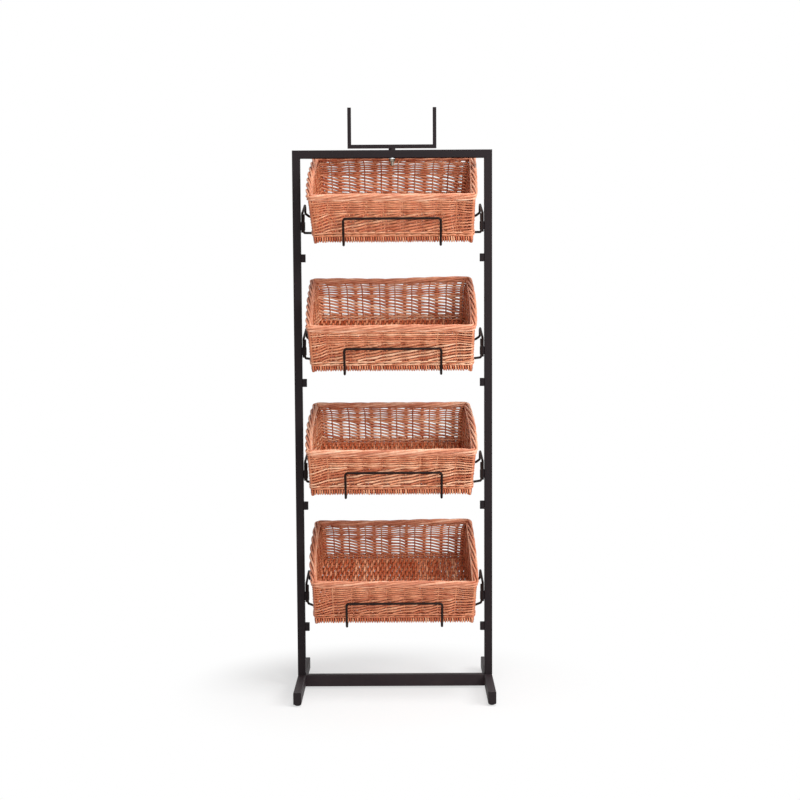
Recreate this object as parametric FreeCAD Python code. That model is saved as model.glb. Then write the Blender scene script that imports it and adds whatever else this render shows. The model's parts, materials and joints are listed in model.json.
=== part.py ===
import FreeCAD, Part
import os
from math import cos, radians, sin, sqrt, tan

# A floor-standing bread rack: a gate of square tube on an H-shaped base, four trays of bent
# wire that drop into sockets on the gate's uprights, a wicker basket in each tray, and a
# U-shaped card holder that swivels on the top rail.
#
# Millimetres. +X runs along the rack's width, -Y is the front, +Z is up. The origin is on
# the floor, at the middle of the base.

# --- frame: gate of square tube and H-shaped base ---------------------------------------
FRAME_WIDTH = 500.0          # over the uprights' outer faces
FRAME_HEIGHT = 1369.0        # floor to the top of the top rail
TUBE = 20.0                  # square tube of the gate; the base tube is as wide
TUBE_WALL = 1.5
TUBE_CORNER = 2.0            # outer corner radius of every tube
BASE_TUBE_HEIGHT = 30.0
FOOT_LENGTH = 400.0          # front to back, over the end caps
CAP_FLANGE = 2.0             # plastic cap outside the foot's end
CAP_PLUG_GAP = 1.5           # plug's end to the levelling foot's nut
CAP_CLEARANCE = 0.05         # plug to tube, each side

# --- fasteners: metric eight throughout -------------------------------------------------
THREAD_RADIUS = 4.0
THREAD_CLEARANCE = 0.05      # radial, screw to threaded or close hole
HOLE_CLEARANCE = 0.5         # radial, screw to clearance hole
NUT_FLATS = 13.0
NUT_HEIGHT = 6.5
BOLT_HEAD_HEIGHT = 5.3
WASHER_RADIUS = 8.0
WASHER_THICKNESS = 1.6
NUT_PLATE = 6.0              # plate in the uprights' lower ends
ACCESS_HOLE_RADIUS = 8.5     # under each upright, for the spanner

# --- levelling feet -----------------------------------------------------------------------
PAD_HEIGHT = 6.0
PAD_RADIUS = 9.0
PAD_FLAT_RADIUS = 5.5        # what touches the floor
PAD_SOCKET_DEPTH = 4.0       # how deep the stud is moulded into the pad
LEVELLER_STUD = 26.0         # stud length above the pad's socket floor
LEVELLER_INSET = 20.0        # foot's end to the stud's axis

# --- tray sockets -------------------------------------------------------------------------
TIERS = 4
TOP_RIM_GAP = 18.088         # rail's underside to the highest basket's side rims
LOW_SOCKET_HEIGHT = 241.0    # floor to the middle of the lowest tray socket
SPARE_SOCKET_DROP = 80.0     # tray socket to the spare one below it
SOCKET_HEIGHT = 20.0
SOCKET_STRAP = 2.5           # thickness of the bent strap
SOCKET_BEND = 3.5            # outer bend radius of the strap
SOCKET_PLAY_X = 2.5          # slot wider than the wire, side to side
SOCKET_PLAY_Y = 4.0          # and front to back

# --- trays of bent wire -------------------------------------------------------------------
WIRE = 6.0
TRAY_TILT = 22.8             # front edge down, degrees
TRAY_SETTLE = {3: -3.5}      # how much less a tier leans, from the play in its sockets
TRAY_REACH = 132.5           # socket's middle forward to the basket's front bottom edge
TRAY_DROP = 45.0             # and down to it
FRONT_CROSS = 91.0           # basket's front edge to the front cross wire, along the tray
REAR_CROSS = 206.0           # and to the rear one
RUNNER_HALF_SPACING = 118.0  # middle of the tray to each runner
RUNNER_TAIL = 20.0           # runner past the rear cross wire
LIP_HEIGHT = 69.6            # lip's top over the basket's underside
LIP_GAP = 1.0                # lip to the basket's rim
LIP_BEND = 7.0               # centre-line bend radii of the wires
CROSS_BEND = 10.0
HOOK_BEND = 7.0
PRONG_BEND = 5.0
WELD_GAP = 0.1               # wires that cross or run side by side
SEAT_GAP = 0.3               # soft or curved piece to what carries it
WIRE_CHAMFER = 0.8           # on every wire's cut ends
ROD_GAP = 0.9                # rod to the upright
ROD_TAIL = 6.0               # rod's end below its socket
ROD_RISE = 32.0              # socket's middle up to the rod's upper corner
TIP_SIDE_GAP = 8.0           # upright's face to the tip's centre line
TIP_BACK = 5.0               # tip behind the rear cross wire
TIP_RISE = 58.5              # socket's middle up to the tip's corner
CROSS_KINK = 11.0            # width over which the rear cross wire turns up
CROSS_KINK_RISE = 8.0
SWEEP_WIDTH = 22.4           # width over which the front cross wire sweeps back
PRONG_SIDE_GAP = 7.6         # upright's face to the prong's centre line
PRONG_GAP = 1.0              # prong to the socket's front
PRONG_DROP = 17.0            # socket's middle down to the prong's lower corner
PRONG_RISE = 30.0            # and up to its end

# --- wicker baskets -----------------------------------------------------------------------
BASKET_SIDE_GAP = 23.0       # basket's rim to each upright
BASKET_DEPTH = 300.0         # front to back over the rim
BASKET_HEIGHT = 124.0
BASKET_FLARE = 10.0          # rim further out than the base, each side
BASKET_WALL = 10.0           # rods woven in and out of the stakes
BASKET_BASE = 14.0           # woven floor: rods over and under its sticks
BORDER_HEIGHT = 15.0
BORDER_WIDTH = 14.0
BORDER_STANDOUT = 1.5        # border proud of the wall's outside
BASKET_CORNER = 14.0         # outer corner radius at the base
BASKET_CORNER_GROWTH = 2.0   # more corner radius at the rim

# --- card holder on the top rail ----------------------------------------------------------
HOLDER_WIDTH = 222.0
HOLDER_HEIGHT = 100.5
CHANNEL_DEPTH = 9.0
CHANNEL_WIDTH = 10.0
CHANNEL_WALL = 1.5
SPACER_RADIUS = 8.5
SPACER_HEIGHT = 4.5
STUD_BELOW_NUT = 10.0

# --- what follows from them ---------------------------------------------------------------
WIRE_RADIUS = WIRE / 2
CAP_PLUG = LEVELLER_INSET - CAP_FLANGE - NUT_FLATS / sqrt(3) - CAP_PLUG_GAP
FOOT_TOP = PAD_HEIGHT + BASE_TUBE_HEIGHT
INNER_FACE = FRAME_WIDTH / 2 - TUBE
UPRIGHT_X = FRAME_WIDTH / 2 - TUBE / 2
# the side rims over the middle of their sockets, at the rail's rear face
RIM_AT_RAIL = (BASKET_HEIGHT / cos(radians(TRAY_TILT)) - TRAY_DROP
               + (TRAY_REACH + TUBE / 2) * tan(radians(TRAY_TILT)))
TOP_SOCKET_HEIGHT = FRAME_HEIGHT - TUBE - TOP_RIM_GAP - RIM_AT_RAIL
TIER_PITCH = (TOP_SOCKET_HEIGHT - LOW_SOCKET_HEIGHT) / (TIERS - 1)
SLOT_X = WIRE + SOCKET_PLAY_X
SLOT_Y = WIRE + SOCKET_PLAY_Y
SOCKET_REACH = SLOT_X + SOCKET_STRAP
SOCKET_HALF_Y = SLOT_Y / 2 + SOCKET_STRAP
SOCKET_TOP = SOCKET_HEIGHT / 2
BASKET_TOP_HALF = INNER_FACE - BASKET_SIDE_GAP
RUNNER_V = -SEAT_GAP - WIRE_RADIUS
CROSS_V = RUNNER_V - WIRE - WELD_GAP
LIP_U = -BASKET_FLARE - LIP_GAP - WIRE_RADIUS
STUD_RADIUS = THREAD_RADIUS - THREAD_CLEARANCE
HOLDER_BOTTOM = FRAME_HEIGHT + SPACER_HEIGHT
TIERS_FROM_TOP = range(1, TIERS + 1)
SIDES = {"left": -1, "right": 1}
X_AXIS = FreeCAD.Vector(1, 0, 0)
Y_AXIS = FreeCAD.Vector(0, 1, 0)
Z_AXIS = FreeCAD.Vector(0, 0, 1)


def point(x, y, z):
    return FreeCAD.Vector(x, y, z)


def box(x0, x1, y0, y1, z0, z1):
    return Part.makeBox(x1 - x0, y1 - y0, z1 - z0, point(x0, y0, z0))


def disc(radius, z0, z1, x=0.0, y=0.0):
    return Part.makeCylinder(radius, z1 - z0, point(x, y, z0))


def hexagon(flats, z0, z1, x=0.0, y=0.0):
    """Hexagonal prism with two flats facing front and back."""
    corner = flats / sqrt(3)
    corners = [point(x + corner * cos(radians(60 * i)), y + corner * sin(radians(60 * i)), z0)
               for i in range(7)]
    return Part.Face(Part.makePolygon(corners)).extrude(Z_AXIS * (z1 - z0))


def rounded_outline(x0, x1, y0, y1, radius, z):
    """Closed wire of a rectangle with rounded corners, level at height z."""
    edges = []
    corners = [(x1 - radius, y0 + radius, -90), (x1 - radius, y1 - radius, 0),
               (x0 + radius, y1 - radius, 90), (x0 + radius, y0 + radius, 180)]
    arcs = []
    for cx, cy, start in corners:
        ends = [point(cx + radius * cos(radians(a)), cy + radius * sin(radians(a)), z)
                for a in (start, start + 45, start + 90)]
        arcs.append(ends)
    for here, after in zip(arcs, arcs[1:] + arcs[:1]):
        edges.append(Part.Arc(*here).toShape())
        edges.append(Part.LineSegment(here[2], after[0]).toShape())
    return Part.Wire(edges)


def tube(width, depth, wall, length):
    """Rectangular tube standing on the origin, width along X and depth along Y."""
    def block(inset):
        radius = max(TUBE_CORNER - inset, 0.3)
        outline = rounded_outline(-width / 2 + inset, width / 2 - inset,
                                  -depth / 2 + inset, depth / 2 - inset, radius, 0.0)
        return Part.Face(outline).extrude(Z_AXIS * length)
    return block(0.0).cut(block(wall))


def laid_along_x(shape, x0, y, z):
    """Turn a piece that stands on Z so that it lies along +X from x0; its width goes upright."""
    shape.rotate(point(0, 0, 0), Y_AXIS, 90)
    shape.translate(point(x0, y, z))
    return shape


def laid_along_y(shape, x, y0, z):
    """Turn a piece that stands on Z so that it lies along +Y from y0; its depth goes upright."""
    shape.rotate(point(0, 0, 0), X_AXIS, -90)
    shape.translate(point(x, y0, z))
    return shape


def prism_xz(corners, half_depth):
    """Prism with the given (x, z) outline, reaching half_depth before and behind Y = 0."""
    outline = [point(x, -half_depth, z) for x, z in corners + corners[:1]]
    return Part.Face(Part.makePolygon(outline)).extrude(Y_AXIS * (2 * half_depth))


def mitred(piece, side, outer_x, outer_z, size, rise, level):
    """Cut a 45-degree mitre on a piece that meets another at an outer corner.

    The mitre's line starts at the corner and runs towards the rack's middle, upwards for a
    rise of 1 and downwards for -1. A level piece keeps what lies on the line's inner side,
    an upright one what lies on its outer side.
    """
    x, z = side * outer_x, outer_z
    start = (x + side, z - rise)
    end = (x - side * (size + 1), z + rise * (size + 1))
    waste = (start[0], end[1]) if level else (end[0], start[1])
    return piece.cut(prism_xz([start, end, waste], size))


def bent_wire(points, bends, diameter=WIRE):
    """Round wire along straight runs; bends gives each corner's centre-line radius."""
    edges = []
    run_start = points[0]
    for before, corner, after, bend in zip(points, points[1:], points[2:], bends):
        way_in = (corner - before).normalize()
        way_out = (after - corner).normalize()
        half_turn = way_in.getAngle(way_out) / 2
        setback = bend * tan(half_turn)
        arc_start = corner - way_in * setback
        arc_end = corner + way_out * setback
        towards_centre = (way_out - way_in).normalize()
        arc_middle = corner + towards_centre * (bend / cos(half_turn) - bend)
        edges.append(Part.LineSegment(run_start, arc_start).toShape())
        edges.append(Part.Arc(arc_start, arc_middle, arc_end).toShape())
        run_start = arc_end
    edges.append(Part.LineSegment(run_start, points[-1]).toShape())
    section = Part.Wire(Part.makeCircle(diameter / 2, points[0], points[1] - points[0]))
    rod = Part.Wire(edges).makePipeShell([section], True, False)
    rims = [face.Edges[0] for face in rod.Faces if isinstance(face.Surface, Part.Plane)]
    return rod.makeChamfer(WIRE_CHAMFER, rims)


# --- frame ----------------------------------------------------------------------------------
def upright(side):
    """Gate upright that stands on the foot, mitred to the rail at the top."""
    post = tube(TUBE, TUBE, TUBE_WALL, FRAME_HEIGHT - FOOT_TOP)
    post.translate(point(side * UPRIGHT_X, 0, FOOT_TOP))
    return mitred(post, side, FRAME_WIDTH / 2, FRAME_HEIGHT, TUBE, -1, False)


def top_rail():
    """Level rail, mitred at both ends, drilled for the card holder's stud."""
    rail = laid_along_x(tube(TUBE, TUBE, TUBE_WALL, FRAME_WIDTH),
                        -FRAME_WIDTH / 2, 0, FRAME_HEIGHT - TUBE / 2)
    for side in SIDES.values():
        rail = mitred(rail, side, FRAME_WIDTH / 2, FRAME_HEIGHT, TUBE, -1, True)
    return rail.cut(disc(THREAD_RADIUS, FRAME_HEIGHT - TUBE - 1, FRAME_HEIGHT + 1))


def crossbar():
    return laid_along_x(tube(BASE_TUBE_HEIGHT, TUBE, TUBE_WALL, 2 * INNER_FACE),
                        -INNER_FACE, 0, PAD_HEIGHT + BASE_TUBE_HEIGHT / 2)


def leveller_places():
    reach = FOOT_LENGTH / 2 - LEVELLER_INSET
    return {f"{end}_{name}": (side * UPRIGHT_X, way * reach)
            for end, way in (("front", -1), ("rear", 1)) for name, side in SIDES.items()}


def foot(side):
    """Front-to-back tube with holes for the upright's bolt and for both levelling feet."""
    half = FOOT_LENGTH / 2 - CAP_FLANGE
    bar = laid_along_y(tube(TUBE, BASE_TUBE_HEIGHT, TUBE_WALL, 2 * half),
                       side * UPRIGHT_X, -half, PAD_HEIGHT + BASE_TUBE_HEIGHT / 2)
    x, middle = side * UPRIGHT_X, PAD_HEIGHT + BASE_TUBE_HEIGHT / 2
    bar = bar.cut(disc(THREAD_RADIUS + HOLE_CLEARANCE, middle, FOOT_TOP + 1, x))
    bar = bar.cut(disc(ACCESS_HOLE_RADIUS, PAD_HEIGHT - 1, middle, x))
    for place_x, y in leveller_places().values():
        if place_x == x:
            bar = bar.cut(disc(THREAD_RADIUS, PAD_HEIGHT - 1, middle, x, y))
    return bar


def end_cap(side, way):
    """Moulded cap: a flange that covers the tube's end and a hollow plug inside it."""
    tube_end = FOOT_LENGTH / 2 - CAP_FLANGE
    x, z = side * UPRIGHT_X, PAD_HEIGHT + BASE_TUBE_HEIGHT / 2
    flange = Part.Face(rounded_outline(-TUBE / 2, TUBE / 2, -BASE_TUBE_HEIGHT / 2,
                                       BASE_TUBE_HEIGHT / 2, TUBE_CORNER, 0.0))
    flange = flange.extrude(Z_AXIS * CAP_FLANGE)
    outer_edges = [e for e in flange.Edges
                   if all(abs(v.Point.z - CAP_FLANGE) < 1e-6 for v in e.Vertexes)]
    flange = flange.makeFillet(CAP_FLANGE / 2, outer_edges)
    inset = TUBE_WALL + CAP_CLEARANCE
    plug = tube(TUBE - 2 * inset, BASE_TUBE_HEIGHT - 2 * inset, TUBE_WALL, CAP_PLUG)
    plug.translate(point(0, 0, -CAP_PLUG))
    cap = flange.fuse(plug)
    cap.rotate(point(0, 0, 0), X_AXIS, -90 * way)
    cap.translate(point(x, way * tube_end, z))
    return cap


def socket(side, height):
    """Strap bent to a U and welded to the upright's inner face, open above and below."""
    def block(reach, half_y, radius):
        outline = rounded_outline(-reach, radius, -half_y, half_y, radius, -SOCKET_TOP)
        return Part.Face(outline).extrude(Z_AXIS * SOCKET_HEIGHT)
    strap = block(SOCKET_REACH, SOCKET_HALF_Y, SOCKET_BEND)
    strap = strap.cut(block(SLOT_X, SLOT_Y / 2, SOCKET_BEND - SOCKET_STRAP))
    strap = strap.cut(box(0, SOCKET_REACH, -TUBE, TUBE, -SOCKET_HEIGHT, SOCKET_HEIGHT))
    if side < 0:
        strap.rotate(point(0, 0, 0), Z_AXIS, 180)
    strap.translate(point(side * INNER_FACE, 0, height))
    return strap


def tray_socket_height(tier):
    return TOP_SOCKET_HEIGHT - (tier - 1) * TIER_PITCH


def upright_bolt(side):
    """Bolt up through the foot into the nut plate, head inside the foot."""
    x, under = side * UPRIGHT_X, FOOT_TOP - TUBE_WALL
    head = hexagon(NUT_FLATS, under - WASHER_THICKNESS - BOLT_HEAD_HEIGHT,
                   under - WASHER_THICKNESS, x)
    shank = disc(STUD_RADIUS, under - WASHER_THICKNESS, FOOT_TOP + NUT_PLATE, x)
    return head.fuse(shank)


def upright_washer(side):
    x, under = side * UPRIGHT_X, FOOT_TOP - TUBE_WALL
    plate = disc(WASHER_RADIUS, under - WASHER_THICKNESS, under, x)
    return plate.cut(disc(THREAD_RADIUS + HOLE_CLEARANCE, under - WASHER_THICKNESS, under, x))


def nut_plate(side):
    """Threaded plate welded inside the upright's lower end."""
    inset = TUBE_WALL + CAP_CLEARANCE
    half = TUBE / 2 - inset
    outline = rounded_outline(-half, half, -half, half, 1.0, 0.0)
    plate = Part.Face(outline).extrude(Z_AXIS * NUT_PLATE)
    plate.translate(point(side * UPRIGHT_X, 0, FOOT_TOP))
    return plate.cut(disc(THREAD_RADIUS, FOOT_TOP, FOOT_TOP + NUT_PLATE, side * UPRIGHT_X))


# --- levelling feet ---------------------------------------------------------------------------
def leveller_nut(x, y):
    """Nut welded inside the foot over the levelling stud's hole."""
    z0 = PAD_HEIGHT + TUBE_WALL
    return hexagon(NUT_FLATS, z0, z0 + NUT_HEIGHT, x, y).cut(
        disc(THREAD_RADIUS, z0, z0 + NUT_HEIGHT, x, y))


def leveller_pad(x, y):
    """Moulded pad with a domed edge and a blind socket for the stud."""
    outline = [Part.LineSegment(point(0, 0, 0), point(PAD_FLAT_RADIUS, 0, 0)).toShape()]
    edge_middle = point(PAD_RADIUS - 0.9, 0, PAD_HEIGHT * 0.3)
    rim_low = point(PAD_RADIUS, 0, PAD_HEIGHT * 0.7)
    outline.append(Part.Arc(point(PAD_FLAT_RADIUS, 0, 0), edge_middle, rim_low).toShape())
    outline.append(Part.LineSegment(rim_low, point(PAD_RADIUS, 0, PAD_HEIGHT)).toShape())
    outline.append(Part.LineSegment(point(PAD_RADIUS, 0, PAD_HEIGHT),
                                    point(0, 0, PAD_HEIGHT)).toShape())
    outline.append(Part.LineSegment(point(0, 0, PAD_HEIGHT), point(0, 0, 0)).toShape())
    pad = Part.Face(Part.Wire(outline)).revolve(point(0, 0, 0), Z_AXIS, 360)
    pad = pad.cut(disc(THREAD_RADIUS, PAD_HEIGHT - PAD_SOCKET_DEPTH, PAD_HEIGHT + 1))
    pad.translate(point(x, y, 0))
    return pad


def leveller_stud(x, y):
    z0 = PAD_HEIGHT - PAD_SOCKET_DEPTH
    return disc(STUD_RADIUS, z0, z0 + LEVELLER_STUD, x, y)


# --- trays --------------------------------------------------------------------------------------
def tray_turn(tier):
    """Extra turn of a tier about its sockets, from the play in them."""
    return TRAY_SETTLE.get(tier, 0.0)


def tray_point(x, u, v):
    """Point of the tray in the socket's frame: u back along the tray, v square to it."""
    tilt = radians(TRAY_TILT)
    return point(x, -TRAY_REACH + u * cos(tilt) - v * sin(tilt),
                 -TRAY_DROP + u * sin(tilt) + v * cos(tilt))


def hung(shape, tier):
    """Move a piece from its socket's frame to its tier's place, leaning as the tier does."""
    shape.rotate(point(0, 0, 0), X_AXIS, tray_turn(tier))
    shape.translate(point(0, 0, tray_socket_height(tier)))
    return shape


def mirrored(points):
    """The points and their mirror images in X = 0, as one route from left to right."""
    return [point(-p.x, p.y, p.z) for p in reversed(points)] + points


def rear_cross_wire():
    """Cross wire that turns up at each end, then comes forward and down into the socket."""
    cross = tray_point(0, REAR_CROSS, CROSS_V)
    tip_x = INNER_FACE - TIP_SIDE_GAP
    rod_x = INNER_FACE - ROD_GAP - WIRE_RADIUS
    half = [point(tip_x - CROSS_KINK, cross.y, cross.z),
            point(tip_x, cross.y, cross.z + CROSS_KINK_RISE),
            point(tip_x, cross.y + TIP_BACK, TIP_RISE),
            point(rod_x, 0, ROD_RISE),
            point(rod_x, 0, -SOCKET_TOP - ROD_TAIL)]
    bends = [CROSS_BEND, HOOK_BEND, HOOK_BEND, HOOK_BEND]
    return bent_wire(mirrored(half), bends[::-1] + bends)


def front_cross_wire():
    """Cross wire that sweeps back at each end and rises in front of the socket as a prong.

    The prong leans back over the socket's front leg, where it carries the tray, and ends
    beside the rod of the rear cross wire.
    """
    cross = tray_point(0, FRONT_CROSS, CROSS_V)
    prong_x = INNER_FACE - PRONG_SIDE_GAP
    prong_y = -SOCKET_HALF_Y - PRONG_GAP - WIRE_RADIUS
    rod_offset = PRONG_SIDE_GAP - ROD_GAP - WIRE_RADIUS
    end_y = -sqrt((WIRE + WELD_GAP) ** 2 - rod_offset ** 2)
    seat = sqrt(2) * (WIRE_RADIUS + SEAT_GAP)
    lean_z = SOCKET_TOP + seat - (PRONG_GAP + WIRE_RADIUS)
    half = [point(prong_x - SWEEP_WIDTH, cross.y, cross.z),
            point(prong_x, prong_y, -PRONG_DROP),
            point(prong_x, prong_y, lean_z),
            point(prong_x, end_y, lean_z + end_y - prong_y),
            point(prong_x, end_y, PRONG_RISE)]
    bends = [CROSS_BEND, HOOK_BEND, PRONG_BEND, PRONG_BEND]
    return bent_wire(mirrored(half), bends[::-1] + bends)


def lip_wire():
    """Two runners under the basket, joined by the lip in front of it."""
    lip_v = LIP_HEIGHT - WIRE_RADIUS
    half = [tray_point(RUNNER_HALF_SPACING, LIP_U, lip_v),
            tray_point(RUNNER_HALF_SPACING, LIP_U, RUNNER_V),
            tray_point(RUNNER_HALF_SPACING, REAR_CROSS + RUNNER_TAIL, RUNNER_V)]
    return bent_wire(mirrored(half), [LIP_BEND] * 4)


# --- baskets ------------------------------------------------------------------------------------
def basket_outline(v, standout):
    """Basket's outline at height v over its underside, standout proud of the wall's outside."""
    share = v / BASKET_HEIGHT
    half_x = BASKET_TOP_HALF - BORDER_STANDOUT - BASKET_FLARE * (1 - share) + standout
    front = -BASKET_FLARE * share + BORDER_STANDOUT - standout
    back = BASKET_DEPTH - 2 * BASKET_FLARE + BASKET_FLARE * share - BORDER_STANDOUT + standout
    radius = max(BASKET_CORNER + BASKET_CORNER_GROWTH * share + standout, 1.0)
    return rounded_outline(-half_x, half_x, front, back, radius, v)


def basket_block(v0, v1, standout):
    return Part.makeLoft([basket_outline(v0, standout), basket_outline(v1, standout)], True, True)


def in_tray(shape):
    """Lay a basket piece, modelled level on the origin, on the tilted tray."""
    shape.rotate(point(0, 0, 0), X_AXIS, TRAY_TILT)
    shape.translate(point(0, -TRAY_REACH, -TRAY_DROP))
    return shape


def basket_base():
    return in_tray(basket_block(0.0, BASKET_BASE, 0.0))


def basket_walls():
    border_v = BASKET_HEIGHT - BORDER_HEIGHT
    outside = basket_block(BASKET_BASE, border_v, 0.0)
    return in_tray(outside.cut(basket_block(BASKET_BASE, border_v, -BASKET_WALL)))


def basket_border():
    border_v = BASKET_HEIGHT - BORDER_HEIGHT
    outside = basket_block(border_v, BASKET_HEIGHT, BORDER_STANDOUT)
    return in_tray(outside.cut(
        basket_block(border_v, BASKET_HEIGHT, BORDER_STANDOUT - BORDER_WIDTH)))


# --- card holder --------------------------------------------------------------------------------
def channel(length):
    """Channel standing on Z, its back on X = 0 and its mouth towards +X."""
    half = CHANNEL_WIDTH / 2
    outside = box(0, CHANNEL_DEPTH, -half, half, 0, length)
    groove = box(CHANNEL_WALL, CHANNEL_DEPTH + 1, -half + CHANNEL_WALL, half - CHANNEL_WALL,
                 -1, length + 1)
    return outside.cut(groove)


def holder_base():
    """Level channel, mouth up, mitred at both ends to meet the arms."""
    base = channel(HOLDER_WIDTH)
    base.rotate(point(0, 0, 0), Y_AXIS, -90)
    base.translate(point(HOLDER_WIDTH / 2, 0, HOLDER_BOTTOM))
    for side in SIDES.values():
        base = mitred(base, side, HOLDER_WIDTH / 2, HOLDER_BOTTOM, CHANNEL_DEPTH, 1, True)
    return base


def holder_arm(side):
    """Upright channel whose mouth faces the other arm, mitred at its foot."""
    arm = channel(HOLDER_HEIGHT)
    if side > 0:
        arm.rotate(point(0, 0, 0), Z_AXIS, 180)
    arm.translate(point(side * HOLDER_WIDTH / 2, 0, HOLDER_BOTTOM))
    return mitred(arm, side, HOLDER_WIDTH / 2, HOLDER_BOTTOM, CHANNEL_DEPTH, 1, False)


def holder_fasteners():
    """Stud under the holder's base, spacer on the rail, washer and nut below the rail."""
    rail_bottom = FRAME_HEIGHT - TUBE
    nut_top = rail_bottom - WASHER_THICKNESS
    nut_bottom = nut_top - NUT_HEIGHT
    loose_hole = THREAD_RADIUS + HOLE_CLEARANCE
    return {
        "holder_stud": disc(STUD_RADIUS, nut_bottom - STUD_BELOW_NUT, HOLDER_BOTTOM),
        "holder_spacer": disc(SPACER_RADIUS, FRAME_HEIGHT, HOLDER_BOTTOM).cut(
            disc(loose_hole, FRAME_HEIGHT, HOLDER_BOTTOM)),
        "holder_washer": disc(WASHER_RADIUS, nut_top, rail_bottom).cut(
            disc(loose_hole, nut_top, rail_bottom)),
        "holder_nut": hexagon(NUT_FLATS, nut_bottom, nut_top).cut(
            disc(THREAD_RADIUS, nut_bottom, nut_top)),
    }


def all_nodes():
    """Every node of the rack by name; a node is one solid or a list of like solids."""
    sides = SIDES.items()
    nodes = {"top_rail": top_rail(), "crossbar": crossbar()}
    nodes.update({f"upright_{name}": upright(side) for name, side in sides})
    nodes.update({f"foot_{name}": foot(side) for name, side in sides})
    nodes["foot_end_caps"] = [end_cap(side, way) for side in SIDES.values() for way in (-1, 1)]
    nodes["upright_bolts"] = [upright_bolt(side) for side in SIDES.values()]
    nodes["upright_washers"] = [upright_washer(side) for side in SIDES.values()]
    nodes["upright_nut_plates"] = [nut_plate(side) for side in SIDES.values()]
    for name, side in sides:
        nodes[f"tray_sockets_{name}"] = [socket(side, tray_socket_height(tier))
                                         for tier in TIERS_FROM_TOP]
        nodes[f"spare_sockets_{name}"] = [
            socket(side, tray_socket_height(tier) - SPARE_SOCKET_DROP)
            for tier in TIERS_FROM_TOP]
    places = leveller_places()
    nodes["leveller_nuts"] = [leveller_nut(x, y) for x, y in places.values()]
    for name, (x, y) in places.items():
        nodes[f"leveller_pad_{name}"] = leveller_pad(x, y)
        nodes[f"leveller_stud_{name}"] = leveller_stud(x, y)
    makers = {"rear_wire": rear_cross_wire, "front_wire": front_cross_wire,
              "lip_wire": lip_wire, "basket_base": basket_base,
              "basket_walls": basket_walls, "basket_border": basket_border}
    for tier in TIERS_FROM_TOP:
        for piece, maker in makers.items():
            group, _, what = piece.partition("_")
            name = f"basket_{tier}_{what}" if group == "basket" else f"tray_{tier}_{piece}"
            nodes[name] = hung(maker(), tier)
    nodes["holder_base"] = holder_base()
    nodes.update({f"holder_arm_{name}": holder_arm(side) for name, side in sides})
    nodes.update(holder_fasteners())
    return nodes


def main():
    os.makedirs("parts", exist_ok=True)
    for name, shape in all_nodes().items():
        if isinstance(shape, list):
            shape = Part.makeCompound(shape)
        assert shape.isValid(), name
        shape.exportStep(f"parts/{name}.step")
        print(f"{name}: {len(shape.Solids)} solid(s), {shape.Volume / 1000:.1f} cm3")


main()
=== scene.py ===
# %% [markdown]
# A bakery bread rack: a black steel gate on an H-shaped base, with four wire trays that each
# carry a wicker basket. The steel is loaded as it was built. The baskets are woven here, rod by
# rod, because wicker is all gaps and shadows and no flat texture shows them.

# %% Load the built frame
import json
from math import atan2, cos, degrees, pi, radians, sin

import bpy
import numpy as np
from mathutils import Matrix, Vector


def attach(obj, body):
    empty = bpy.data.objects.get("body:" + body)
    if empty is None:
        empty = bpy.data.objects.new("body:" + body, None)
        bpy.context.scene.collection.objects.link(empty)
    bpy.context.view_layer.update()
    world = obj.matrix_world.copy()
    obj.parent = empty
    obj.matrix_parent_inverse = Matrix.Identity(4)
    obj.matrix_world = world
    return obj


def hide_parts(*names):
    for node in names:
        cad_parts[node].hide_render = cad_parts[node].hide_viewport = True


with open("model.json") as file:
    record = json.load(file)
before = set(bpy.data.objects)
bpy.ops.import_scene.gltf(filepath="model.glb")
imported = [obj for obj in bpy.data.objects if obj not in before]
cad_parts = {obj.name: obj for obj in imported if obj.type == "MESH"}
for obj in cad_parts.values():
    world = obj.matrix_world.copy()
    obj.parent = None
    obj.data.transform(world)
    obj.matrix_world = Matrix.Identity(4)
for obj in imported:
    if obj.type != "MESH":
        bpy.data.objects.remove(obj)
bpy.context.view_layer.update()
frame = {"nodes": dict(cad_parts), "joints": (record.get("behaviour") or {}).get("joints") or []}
nodes = frame["nodes"]

MM = 0.001


# %% [markdown]
# Every finish is written as a colour on a screen, so one function turns it into the linear
# light values that the shader works in, and one function adds a node with its settings and
# links. Each material is then a short list of nodes.

# %% Colours and nodes
def linear(hex_colour):
    """sRGB hex to linear RGBA: each channel undone with the sRGB curve."""
    channels = [int(hex_colour[i:i + 2], 16) / 255 for i in (1, 3, 5)]
    undone = [c / 12.92 if c <= 0.04045 else ((c + 0.055) / 1.055) ** 2.4 for c in channels]
    return (*undone, 1.0)


def add_node(owner, kind, settings=None, inputs=None, stops=()):
    """Adds one node to a material or the world. Settings are its properties, inputs are values
    or another node's socket, and stops are the (position, hex) pairs of a colour ramp."""
    node = owner.node_tree.nodes.new(kind)
    for name, value in (settings or {}).items():
        setattr(node, name, value)
    for name, value in (inputs or {}).items():
        if isinstance(value, bpy.types.NodeSocket):
            owner.node_tree.links.new(value, node.inputs[name])
        else:
            node.inputs[name].default_value = value
    for number, (position, hex_colour) in enumerate(stops):
        elements = node.color_ramp.elements
        stop = elements[number] if number < len(elements) else elements.new(position)
        stop.position = position
        stop.color = linear(hex_colour)
    return node


def new_material(name):
    """A material with no nodes yet."""
    material = bpy.data.materials.new(name)
    material.use_nodes = True
    material.node_tree.nodes.clear()
    return material


def finish_material(material, shader_socket):
    """Links the shader to the material's output."""
    add_node(material, "ShaderNodeOutputMaterial", inputs={"Surface": shader_socket})
    return material


WHITE = linear("#FFFFFF")
print("white in linear light:", WHITE)

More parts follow.
